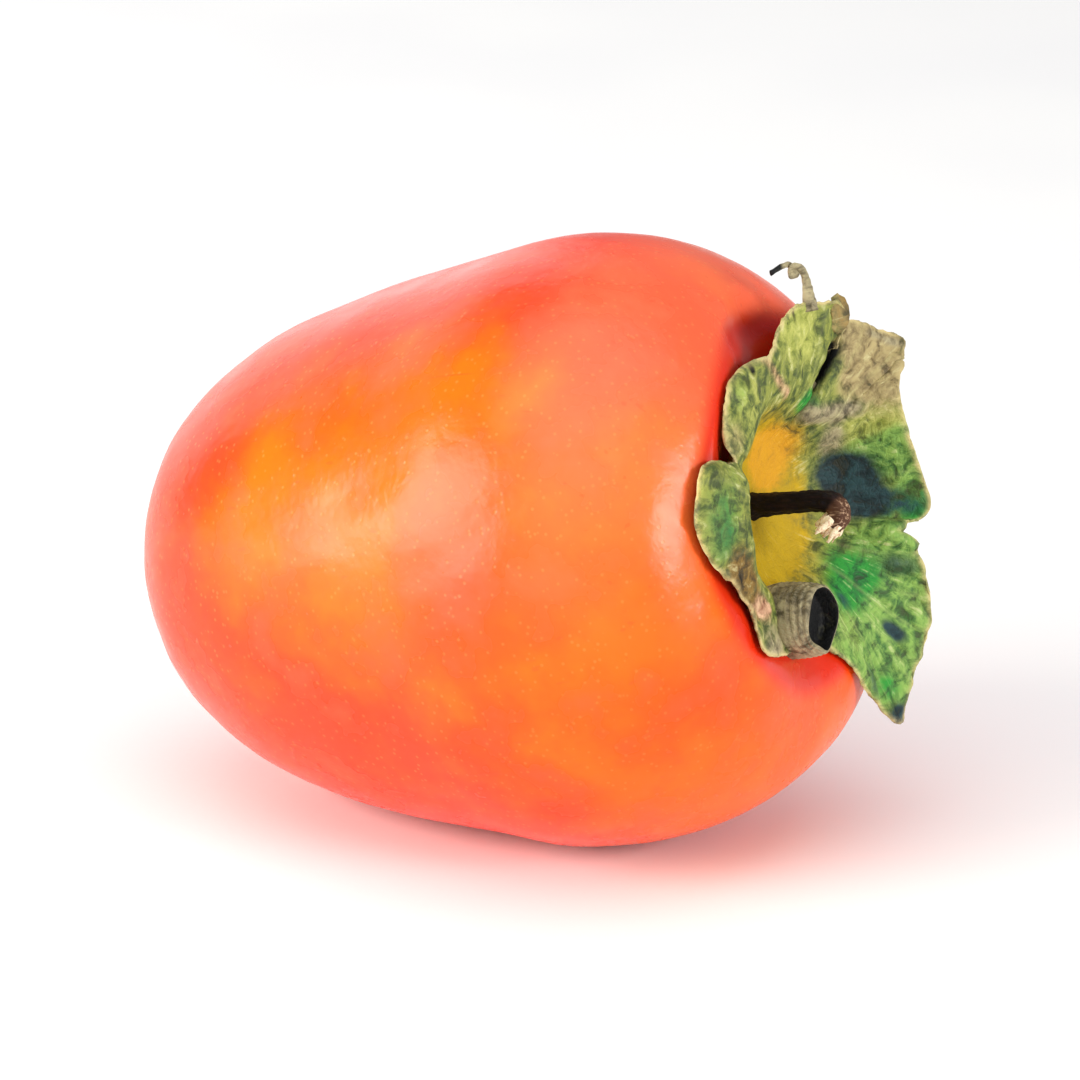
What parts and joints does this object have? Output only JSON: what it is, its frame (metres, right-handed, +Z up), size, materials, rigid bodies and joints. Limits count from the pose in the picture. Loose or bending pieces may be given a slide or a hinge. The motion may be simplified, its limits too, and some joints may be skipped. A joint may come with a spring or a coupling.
{
  "type": "persimmon",
  "caption": "Ripe cone-shaped persimmon lying on its side, with a lobed leafy calyx and a short broken woody stem.",
  "frame": {"origin": "on the surface that the fruit lies on, under the middle of its bounding box", "axes": "+X along the lying fruit from its tip to its calyx, +Z up"},
  "size_m": [0.0982, 0.0732, 0.073],
  "materials": {
    "fruit_skin": "waxy satin skin, orange with a pink-red blush",
    "calyx_leaf": "matt leathery leaf, green with dry brown edges",
    "stem_wood": "dark dry bark with a pale broken end",
    "style_dry": "dark and dry"
  },
  "bodies": {
    "root": {"fruit": "fruit_skin", "calyx": "calyx_leaf", "stem": "stem_wood", "style_tip": "style_dry"}
  },
  "joints": []
}
